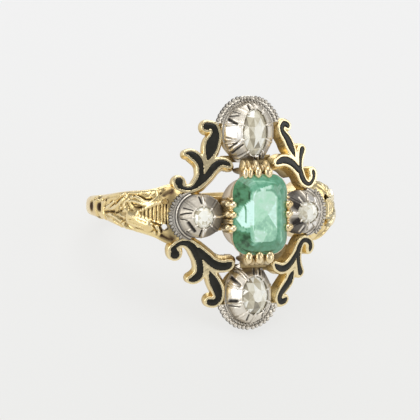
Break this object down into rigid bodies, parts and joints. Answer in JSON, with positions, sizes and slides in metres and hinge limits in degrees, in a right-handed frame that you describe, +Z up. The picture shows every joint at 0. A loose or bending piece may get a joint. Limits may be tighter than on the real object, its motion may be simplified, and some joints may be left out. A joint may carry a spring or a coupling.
{
  "type": "gemstone ring",
  "caption": "Gold finger ring whose head carries a step-cut emerald in a claw cup, round diamonds in silver collets and pierced scroll panels with black enamel.",
  "frame": {"origin": "centre of the finger hole", "axes": "The ring lies on its side: +Z up, nearly along the finger hole, +Y from the face of the ring to the back of the hoop, +X to the right as the face is looked at"},
  "size_m": [0.0204, 0.0223, 0.0182],
  "materials": {
    "gold": "polished and chased yellow gold, dark in the recesses",
    "setting_silver": "grey brown silver, satin",
    "collet_silver": "worn silver, darkened in the cuts",
    "emerald": "polished green stone",
    "diamond": "polished clear stone",
    "enamel": "glossy black enamel"
  },
  "bodies": {
    "root": {"gold_mount": "gold", "claw_setting": "setting_silver", "emerald": "emerald", "collet_top": "collet_silver", "collet_bottom": "collet_silver", "collet_left": "collet_silver", "collet_right": "collet_silver", "diamond_top": "diamond", "diamond_bottom": "diamond", "diamond_left": "diamond", "diamond_right": "diamond", "enamel_leaf_nw": "enamel", "enamel_leaf_ne": "enamel", "enamel_leaf_sw": "enamel", "enamel_leaf_se": "enamel", "enamel_scroll_nw": "enamel", "enamel_scroll_ne": "enamel", "enamel_scroll_sw": "enamel", "enamel_scroll_se": "enamel"}
  },
  "joints": []
}
